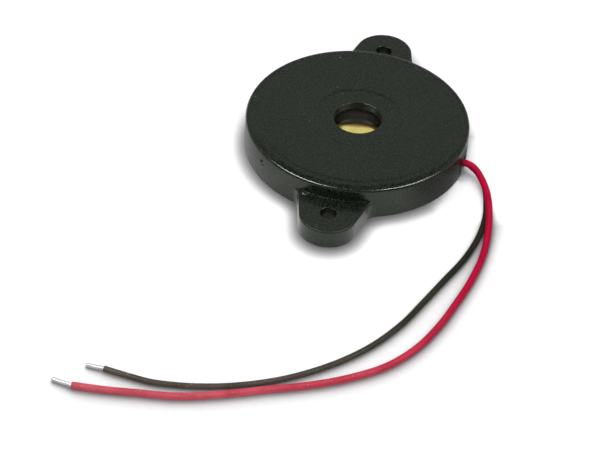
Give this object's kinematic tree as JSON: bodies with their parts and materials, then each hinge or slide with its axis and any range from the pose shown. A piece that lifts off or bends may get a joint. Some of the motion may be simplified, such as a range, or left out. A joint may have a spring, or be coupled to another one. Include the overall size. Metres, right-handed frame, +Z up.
{
  "type": "piezo buzzer",
  "caption": "Flat round piezo buzzer in dark plastic with two mounting ears, a centre sound hole and red and black flying leads.",
  "frame": {"origin": "centre of the round housing at its flat base", "axes": "+Z up out of the sound hole, +Y along the line through both mounting ears, +X towards the side where the leads come out"},
  "size_m": [0.0668, 0.1091, 0.0066],
  "materials": {
    "plastic": "matte",
    "brass": "satin",
    "ceramic": "satin",
    "silicone": "satin",
    "tinned_wire": "satin",
    "red_insulation": "satin",
    "black_insulation": "satin"
  },
  "bodies": {
    "root": {"housing": "plastic", "back_cover": "plastic", "diaphragm": "brass", "ceramic_disc": "ceramic", "adhesive_ring": "silicone", "lead_adhesive": "silicone", "red_solder_joint": "tinned_wire", "black_solder_joint": "tinned_wire", "red_inner_wire": "tinned_wire", "black_inner_wire": "tinned_wire", "red_lead": "red_insulation", "black_lead": "black_insulation", "red_wire_end": "tinned_wire", "black_wire_end": "tinned_wire"}
  },
  "joints": []
}
